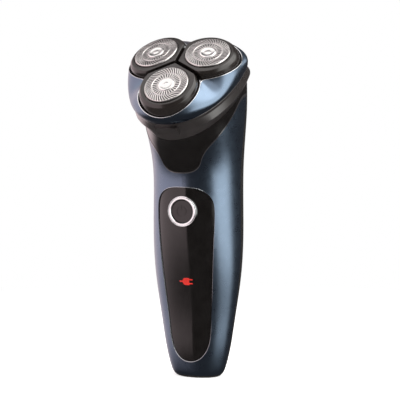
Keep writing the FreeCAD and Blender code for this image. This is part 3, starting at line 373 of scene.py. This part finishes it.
def slot_twist(radius):
    """How far a slot of the outer track has turned aside at a radius."""
    share = (radius - OUTER_TRACK[0]) / (OUTER_TRACK[1] - OUTER_TRACK[0])
    return OUTER_SLANT * min(max(share, 0), 1)


def is_slot(row, column):
    """Whether a face of the comb is left out; half of each slot's pitch is open."""
    middle = (COMB_PROFILE[row][0] + COMB_PROFILE[row + 1][0]) / 2
    for (start, end), count in ((OUTER_TRACK, OUTER_SLOTS), (INNER_TRACK, INNER_SLOTS)):
        pitch = COMB_COLUMNS // count
        if start < middle < end:
            return column % pitch < pitch // 2
    return False


def comb(side):
    """A thin slotted foil: slanted slots in the outer track, straight slots in the inner one."""
    rows = []
    for radius, depth in COMB_PROFILE:
        turns = [a + slot_twist(radius) for a in around(COMB_COLUMNS)]
        rows.append([(radius * math.sin(a), radius * math.cos(a), depth) for a in turns])
    obj = build("foil_" + side, rows, UNIT[side], "comb_steel", "comb_" + side, skip=is_slot)
    sharpen(obj, 30)
    wall = obj.modifiers.new("foil_thickness", "SOLIDIFY")
    wall.thickness = FOIL_THICKNESS * MM
    wall.offset = -1
    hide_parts("comb_" + side)


def comb_cap(side):
    """The plain turned cap in the middle of a comb."""
    obj = lathe("cap_" + side, CAP_PROFILE, UNIT[side], "comb_cap", "comb_" + side)
    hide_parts("comb_cap_" + side)


# ---------------------------------------------------------------- spindle springs

SPINDLE_BASE, TOWER_FLOOR, PRESS_TRAVEL = 15.2, 19.8, 1.0
WIRE_RADIUS, COIL_RADIUS, COIL_TURNS, COIL_STEPS = 0.22, 1.5, 4, 24
COIL_GAP = 0.05


def spindle_spring(side):
    """A coil of wire between the spindle's base and the tower's floor."""
    start = SPINDLE_BASE + WIRE_RADIUS + COIL_GAP
    length = TOWER_FLOOR - SPINDLE_BASE - 2 * WIRE_RADIUS - 2 * COIL_GAP
    place = HEAD @ turned(TURNS[side], "Z") @ shifted(0, DRIVE_OFFSET, 0)
    rows = []
    for step in range(COIL_TURNS * COIL_STEPS + 1):
        turn = 2 * math.pi * step / COIL_STEPS
        depth = start + length * step / (COIL_TURNS * COIL_STEPS)
        ring = []
        for a in around(12):
            out = COIL_RADIUS + WIRE_RADIUS * math.cos(a)
            ring.append((out * math.cos(turn), out * math.sin(turn), depth + WIRE_RADIUS * math.sin(a)))
        rows.append(ring)
    obj = build("coil_" + side, rows, place, "spring_steel", "gear_" + side, caps=True)
    sharpen(obj, 60)
    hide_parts("spindle_spring_" + side)
    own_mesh(obj)


for side in TURNS:
    cover(side)
    comb(side)
    comb_cap(side)
    spindle_spring(side)

# ---------------------------------------------------------------- outlines of the bowl and its rim

COLUMNS = 480
LOBE_OFFSET = 15.0
RIM_DEPTH, RIM_WAVE, RIM_FLATTENING = 5.65, 1.9, 0.25
RIM_INSIDE, RIM_OUTSIDE, RIM_LEAST_WIDTH = 14.95, 15.2, 0.50
SEAM, RING_END = 13.4, 24.0
# The bowl's oval: its size where it is widest, how fast it draws in, and the depth of the widest place.
BOWL_WIDTH = (29.35, 0.0396, 8.5)
BOWL_FRONT = (43.3, 0.0823, 8.0)
BOWL_BACK = (15.4, 0.0331, 8.8)
BOWL_SHIFT = -12.5
FULL_OVAL = 11.9  # at this depth and below it the bowl is a plain oval
# The neck's oval: half width, front, back and shift at the seam, and what each loses by the collar.
NECK_AT_SEAM = (28.8, 41.0, 14.8, -12.0)
NECK_LOSS = (3.7, 0.1, 0.8, 1.0)


def ring_of(reach, depth):
    """A ring in the head's frame from the distance and the depth at each angle."""
    ring = []
    for a in around(COLUMNS):
        r = reach(a)
        ring.append((r * math.sin(a), r * math.cos(a), depth(a)))
    return ring


def circles_reach(angle, radius, power):
    """Distance from the head axis to the outline of three circles round the lobes."""
    reaches = []
    for turn in TURNS.values():
        apart = angle + math.radians(turn)
        across = max(radius ** 2 - (LOBE_OFFSET * math.sin(apart)) ** 2, 0)
        reaches.append(max(LOBE_OFFSET * math.cos(apart) + math.sqrt(across), 0.01))
    return soft_most(reaches, power)


def oval_reach(angle, width, front, back, shift):
    """Distance from the head axis to an oval made of two half ellipses, moved forward by shift."""
    low, high = 0.0, 60.0
    for _ in range(40):
        reach = (low + high) / 2
        x, y = reach * math.sin(angle), reach * math.cos(angle) - shift
        inside = (x / width) ** 2 + (y / (front if y > 0 else back)) ** 2 < 1
        low, high = (reach, high) if inside else (low, reach)
    return low


def rim_depth(angle):
    """The rim is low at the tip of each cover and high between the covers."""
    return RIM_DEPTH + RIM_WAVE * math.cos(3 * angle) + RIM_FLATTENING * math.cos(6 * angle)


def rim_inside(angle):
    return circles_reach(angle, RIM_INSIDE, 120)


def rim_outside(angle):
    """The rim is a fine line that widens in the valleys between the covers."""
    return max(circles_reach(angle, RIM_OUTSIDE, 6.6), rim_inside(angle) + RIM_LEAST_WIDTH)


def drawn_in(size, depth):
    """A size of the bowl's oval at a depth."""
    widest, rate, widest_at = size
    return widest - rate * (depth - widest_at) ** 2


def bowl_reach(angle, depth):
    """Distance from the head axis to the outside of the bowl, from its belly up to its rim."""
    width, front, back = (drawn_in(size, depth) for size in (BOWL_WIDTH, BOWL_FRONT, BOWL_BACK))
    shift = BOWL_SHIFT + 0.02 * max(depth - 8.5, 0) ** 2
    oval = oval_reach(angle, width, front, back, shift)
    above = max(FULL_OVAL - depth, 0) / (FULL_OVAL - rim_depth(angle))
    roundness = 2.3 + 0.5 * math.cos(3 * angle)
    return oval + above ** roundness * (rim_outside(angle) + 0.02 - oval)


def neck_reach(angle, depth):
    """Distance from the head axis to the neck between the seam and the collar."""
    share = (depth - SEAM) / (RING_END - SEAM)
    return oval_reach(angle, *(size - loss * share for size, loss in zip(NECK_AT_SEAM, NECK_LOSS)))


# ---------------------------------------------------------------- bowl and bright rim

HINGE_BACK, HINGE_RADIUS, PIN_ROOM = -27.8, 2.2, 1.06
KNUCKLE_HALF_WIDTH, EAR_START, EAR_END = 5.9, 6.3, 10.5
CUT_START, CUT_END, CUT_DEPTH, BACK_REACH = 6.1, 10.9, 10.8, 29.0
BELLY_DEPTH, WALL, HEM_RISE = 9.0, 2.4, 1.2
INNER_CIRCLES, INNER_DEPTH = 15.05, 9.2


def hem_depth(angle):
    """The bowl's lower edge, cut up beside the hinge knuckle at the back to make room for the ears."""
    aside = abs(BACK_REACH * math.sin(angle))
    return CUT_DEPTH if math.cos(angle) < 0 and CUT_START < aside < CUT_END else SEAM


def bowl():
    """The blue bowl from the seam to its scalloped rim, with its inner wall."""
    rows = [ring_of(lambda a: bowl_reach(a, BELLY_DEPTH) - WALL, lambda a: hem_depth(a) - HEM_RISE)]
    for inset, lift in ((1.3, 0.0), (0.22, 0.0), (0.05, 0.1)):
        rows.append(ring_of(lambda a: bowl_reach(a, hem_depth(a)) - inset, lambda a: hem_depth(a) - lift))
    steps = 40
    for step in range(1, steps + 1):
        share = 1 - (1 - step / steps) ** 1.5

        def level(a):
            return hem_depth(a) - 0.1 + share * (rim_depth(a) - hem_depth(a) + 0.1)

        rows.append(ring_of(lambda a: bowl_reach(a, level(a)), level))
    rows.append(ring_of(lambda a: rim_outside(a) - 0.1, lambda a: rim_depth(a) + 0.5))
    rows.append(ring_of(lambda a: circles_reach(a, INNER_CIRCLES, 60), lambda a: INNER_DEPTH))
    obj = build("bowl", rows + [rows[0]], HEAD, "blue_lacquer", "head")
    sharpen(obj, 50)
    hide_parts("head_holder")


def rim_line():
    """A fine bright edge that widens to a bevel in the valleys between the covers."""
    section = [  # depth below the rim, share of the way from its inside to its outside
        (1.3, 0.0), (0.1, 0.0), (-0.06, 0.08), (-0.12, 0.2),
        (-0.12, 0.85), (-0.06, 0.98), (0.1, 1.05), (0.4, 1.06),
    ]
    rows = []
    for drop, share in section:

        def reach(a):
            return rim_inside(a) + share * (rim_outside(a) - rim_inside(a))

        rows.append(ring_of(reach, lambda a: rim_depth(a) + drop))
    obj = build("rim_line", rows + [rows[0]], HEAD, "trim_silver", "head")
    sharpen(obj, 60)
    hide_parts("head_trim")


# ---------------------------------------------------------------- hinge and neck ring


def knuckle():
    """The hinge's middle barrel, part of the bowl."""
    end, edge = KNUCKLE_HALF_WIDTH, 0.3
    half = [(PIN_ROOM, end), (HINGE_RADIUS - edge, end), (HINGE_RADIUS, end - edge)]
    profile = [(r, -z) for r, z in half] + half[::-1] + [(PIN_ROOM, -end)]
    across = HEAD @ shifted(0, HINGE_BACK, SEAM) @ turned(90, "Y")
    lathe("knuckle", profile, across, "blue_lacquer", "head", 48)


def ear(name, hand):
    """An eye of the hinge, on a root that grows out of the neck ring."""
    turns = [math.radians(-20 + 10 * step) for step in range(23)]
    outline = [(HINGE_BACK + HINGE_RADIUS * math.cos(t), SEAM - HINGE_RADIUS * math.sin(t)) for t in turns]
    outline += [(-28.9, 15.4), (-27.3, 17.4), (-25.3, 17.4), (-25.4, 15.6)]
    middle = Vector((-27.5, 14.5))
    stations = [  # place along the hinge, size of the outline there
        (EAR_START, 0.2), (EAR_START, 0.9), (EAR_START + 0.25, 1.0),
        (EAR_END - 0.25, 1.0), (EAR_END, 0.9), (EAR_END, 0.2),
    ]
    rows = []
    for x, size in stations:
        rows.append([(hand * x, *(middle + (Vector(point) - middle) * size)) for point in outline])
    sharpen(build(name, rows, HEAD, "ring_black", "handle", caps=True), 25)


def ring_bulge(angle):
    """How far the chamfer stands out: fully at the sides and back, not at all at the front's middle."""
    if math.cos(angle) <= 0:
        return 1.0
    return min(max((abs(math.sin(angle)) - 0.22) / 0.5, 0), 1)


def neck_ring():
    """The black ring under the bowl: an inset strip, a chamfer and a broad lower band."""
    # Each corner is a depth and how far the ring stands out of the neck there.
    strip = [(13.72, -1.9), (13.72, -0.72), (13.9, -0.6), (15.5, -0.55), (15.6, -0.50)]
    chamfer = [(18.7, 1.25), (18.85, 1.32), (19.0, 1.30)]
    lower = [(21.5, 0.62), (23.2, 0.2), (23.95, 0.0), (23.95, -1.9)]
    front_inset = 0.15
    rows = []
    for depth, out in strip + chamfer + lower:

        def standing_out(a):
            bulge = ring_bulge(a)
            return out if out < 0 else out * bulge - front_inset * (1 - bulge)

        rows.append(ring_of(lambda a: neck_reach(a, depth) + standing_out(a), lambda a: depth))
    obj = build("ring_band", rows + [rows[0]], HEAD, "ring_black", "handle")
    sharpen(obj, 9)
    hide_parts("neck_ring")


bowl()
knuckle()
ear("ear_left", -1)
ear("ear_right", 1)
rim_line()
neck_ring()

# ---------------------------------------------------------------- panel edge and button ring

BUTTON_HEIGHT = 82
PANEL_MIDDLE = Vector((0, 50))
SHELL_SIDE = 0.55  # how far outside the panel's outline the shell's front is looked up
LIP_SECTION = [  # place across the line, how far it stands out of the shell
    (-0.12, -0.5), (-0.10, 0.02), (0.0, 0.10), (0.14, 0.12), (0.26, 0.06), (0.30, -0.5),
]
BUTTON_RING = [  # radius, distance in front of the handle's axis
    (5.62, 17.2), (5.62, 19.5), (5.80, 20.0), (5.88, 20.08), (6.66, 20.08), (6.74, 19.98), (6.76, 19.35),
    (7.04, 19.35), (7.06, 19.85), (7.1, 19.95), (7.22, 19.95), (7.28, 19.85), (7.28, 17.2), (5.62, 17.2),
]


def surface_finder(*names):
    """Gives the y of the front-most of some CAD pieces at a place (x, z)."""
    graph = bpy.context.evaluated_depsgraph_get()
    trees = [BVHTree.FromObject(nodes[name], graph) for name in names]

    def find(x, z):
        hits = [tree.ray_cast(Vector((x, -60, z)) * MM, Vector((0, 1, 0)))[0] for tree in trees]
        return min(hit.y for hit in hits if hit) / MM

    return find


def spaced_round(corners, count):
    """Evenly spaced points along a closed outline, slightly smoothed."""
    lengths = [(b - a).length for a, b in zip(corners, corners[1:] + corners[:1])]
    points = []
    for step in range(count):
        along, index = sum(lengths) * step / count, 0
        while along > lengths[index]:
            along -= lengths[index]
            index += 1
        start, end = corners[index], corners[(index + 1) % len(corners)]
        points.append(start.lerp(end, along / lengths[index]))
    for _ in range(6):
        points = [(points[i - 1] + points[i] * 2 + points[(i + 1) % count]) / 4 for i in range(count)]
    return points


def panel_outline(count):
    """(x, z) points round the control panel, with their outward directions."""
    flat = [(v.co.x / MM, v.co.z / MM) for v in nodes["control_panel"].data.vertices]
    points = spaced_round([Vector(flat[index]) for index in convex_hull_2d(flat)], count)
    outward = []
    for i in range(count):
        along = points[(i + 1) % count] - points[i - 1]
        normal = Vector((along.y, -along.x)).normalized()
        outward.append(normal if normal.dot(points[i] - PANEL_MIDDLE) > 0 else -normal)
    return points, outward


def panel_lip():
    """A fine raised line where the panel meets the shell, in light grey metal: painted highlight on the
    shell's blue edge.
    """
    find = surface_finder("front_shell", "control_panel")
    points, outward = panel_outline(360)
    fronts = [find(*(point + out * SHELL_SIDE)) for point, out in zip(points, outward)]
    rows = []
    for offset, raised in LIP_SECTION:
        places = [point + out * offset for point, out in zip(points, outward)]
        rows.append([(place.x, front - raised, place.y) for place, front in zip(places, fronts)])
    build("panel_lip", rows + [rows[0]], WORLD, "lip_painted_highlight", "handle")


def button_ring():
    """A bright flat ring round the power button, a dark groove and a second, thin ring outside it."""
    place = shifted(0, 0, BUTTON_HEIGHT) @ turned(90, "X")
    obj = lathe("button_ring", BUTTON_RING, place, "bezel_silver", "handle", 180)
    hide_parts("button_bezel")


panel_lip()
button_ring()

# ---------------------------------------------------------------- stage, light and camera
# A pair says where a light starts and where it is at full strength. On the left and right these are
# azimuths in degrees, counted from the front to the right. Elsewhere they are upward parts of the unit
# direction, and backward parts in BACK_EDGE. Over WIDENING_RANGE the right strip grows RIGHT_WIDENING
# degrees wider.

LEFT_FRONT_EDGE, LEFT_BACK_EDGE = (-15, -17.5), (-178, -120)
RIGHT_FRONT_EDGE, RIGHT_BACK_EDGE = (44, 62), (116, 88)
RIGHT_WIDENING, WIDENING_RANGE = 42.0, (0.02, 0.3)
TOP_START, TOP_FULL, BACK_EDGE = 0.42, 0.62, (0.45, 0.15)
LOW_EDGE = (-0.50, -0.16)
LEFT_GLOW, LEFT_COLOUR = 1.0, (1.10, 0.90, 0.93)
RIGHT_GLOW, RIGHT_COLOUR = 2.1, (1.0, 1.0, 0.97)
TOP_GLOW, TOP_COLOUR = 1.1, (1.0, 0.96, 0.95)
DIM_COLOUR = (0.062, 0.058, 0.060)


def studio_world():
    """White to the eye; in reflections a softbox on the left, a strip on the right and a light above."""
    world = bpy.data.worlds.new("studio")
    scene.world = world
    world.use_nodes = True
    tree = world.node_tree
    tree.nodes.clear()

    def add(kind, **settings):
        made = tree.nodes.new("ShaderNode" + kind)
        for key, value in settings.items():
            setattr(made, key, value)
        return made

    def maths(operation, first, second):
        made = add("Math", operation=operation)
        for index, value in enumerate((first, second)):
            if isinstance(value, bpy.types.NodeSocket):
                tree.links.new(value, made.inputs[index])
            else:
                made.inputs[index].default_value = value
        return made.outputs[0]

    def ramp(value, low, high):
        """Rises softly from 0 at low to 1 at high; low may be the greater one."""
        made = add("MapRange", interpolation_type="SMOOTHSTEP")
        tree.links.new(value, made.inputs["Value"])
        made.inputs["From Min"].default_value = low
        made.inputs["From Max"].default_value = high
        return made.outputs["Result"]

    def glow(colour, strength):
        made = add("Background")
        made.inputs["Color"].default_value = (*colour, 1)
        if isinstance(strength, bpy.types.NodeSocket):
            tree.links.new(strength, made.inputs["Strength"])
        else:
            made.inputs["Strength"].default_value = strength
        return made.outputs[0]

    def both(first, second):
        made = add("AddShader")
        tree.links.new(first, made.inputs[0])
        tree.links.new(second, made.inputs[1])
        return made.outputs[0]

    coordinates = add("TexCoord")
    split = add("SeparateXYZ")
    tree.links.new(coordinates.outputs["Generated"], split.inputs[0])
    forward = maths("MULTIPLY", split.outputs["Y"], -1.0)
    azimuth = maths("MULTIPLY", maths("ARCTAN2", split.outputs["X"], forward), math.degrees(1))
    height = split.outputs["Z"]
    not_below = ramp(height, *LOW_EDGE)

    def light(amount, strength, colour):
        return glow(colour, maths("MULTIPLY", maths("MULTIPLY", amount, not_below), strength))

    left = maths("MULTIPLY", ramp(azimuth, *LEFT_FRONT_EDGE), ramp(azimuth, *LEFT_BACK_EDGE))
    left = maths("MULTIPLY", left, ramp(height, TOP_FULL, TOP_START))
    widening = maths("MULTIPLY", ramp(height, *WIDENING_RANGE), RIGHT_WIDENING)
    widened = maths("SUBTRACT", azimuth, widening)
    right = maths("MULTIPLY", ramp(azimuth, *RIGHT_FRONT_EDGE), ramp(widened, *RIGHT_BACK_EDGE))
    top = maths("MULTIPLY", ramp(height, TOP_START, TOP_FULL), ramp(split.outputs["Y"], *BACK_EDGE))

    sides = both(light(left, LEFT_GLOW, LEFT_COLOUR), light(right, RIGHT_GLOW, RIGHT_COLOUR))
    reflected = both(sides, both(light(top, TOP_GLOW, TOP_COLOUR), glow(DIM_COLOUR, 1.0)))
    rays = add("LightPath")
    pick = add("MixShader")
    tree.links.new(rays.outputs["Is Camera Ray"], pick.inputs["Fac"])
    tree.links.new(reflected, pick.inputs[1])
    tree.links.new(glow((1, 1, 1), 1.0), pick.inputs[2])
    output = add("OutputWorld")
    tree.links.new(pick.outputs[0], output.inputs["Surface"])


def floor():
    """A pale floor that takes a soft shadow and fades into the white backdrop."""
    shape = bmesh.new()
    bmesh.ops.create_circle(shape, cap_ends=True, segments=96, radius=6.0)
    mesh = bpy.data.meshes.new("floor")
    shape.to_mesh(mesh)
    shape.free()
    obj = bpy.data.objects.new("floor", mesh)
    scene.collection.objects.link(obj)
    s = Shader("pale_floor")
    reach = s.node("VectorMath", operation="LENGTH")
    s.link(s.place(), reach.inputs[0])
    fade = s.remap(reach.outputs["Value"], 0.06, 0.34, 0.0, 1.0)
    s.set(Base_Color=(0.86, 0.86, 0.86), Roughness=0.9, Specular_IOR_Level=0.0)
    lift = s.node("Emission")
    lift.inputs["Color"].default_value = (1, 1, 1, 1)
    lift.inputs["Strength"].default_value = 0.62
    near = s.node("AddShader")
    s.link(s.surface.outputs[0], near.inputs[0])
    s.link(lift.outputs[0], near.inputs[1])
    far = s.node("Emission")
    pick = s.node("MixShader")
    s.link(fade, pick.inputs["Fac"])
    s.link(near.outputs[0], pick.inputs[1])
    s.link(far.outputs[0], pick.inputs[2])
    s.link(pick.outputs[0], s.tree.nodes["Material Output"].inputs["Surface"])
    mesh.materials.append(s.material)
    obj.visible_glossy = False


CAMERA_AZIMUTH, CAMERA_ELEVATION = 23.5, 4.95  # degrees
CAMERA_DISTANCE = 0.9  # metres
CAMERA_TARGET = Vector((0, 0, 0.083))  # metres


def camera():
    azimuth, elevation = math.radians(CAMERA_AZIMUTH), math.radians(CAMERA_ELEVATION)
    level = math.cos(elevation)
    back = Vector((math.sin(azimuth) * level, -math.cos(azimuth) * level, math.sin(elevation)))
    data = bpy.data.cameras.new("camera")
    data.sensor_width = 36.0
    data.lens = 166.9
    data.shift_x = 0.00375
    data.shift_y = 0.015
    obj = bpy.data.objects.new("camera", data)
    scene.collection.objects.link(obj)
    obj.location = CAMERA_TARGET + back * CAMERA_DISTANCE
    obj.rotation_mode = "QUATERNION"
    obj.rotation_quaternion = (-back).to_track_quat("-Z", "Y")
    scene.camera = obj


studio_world()
floor()
camera()
scene.view_settings.view_transform = "Standard"
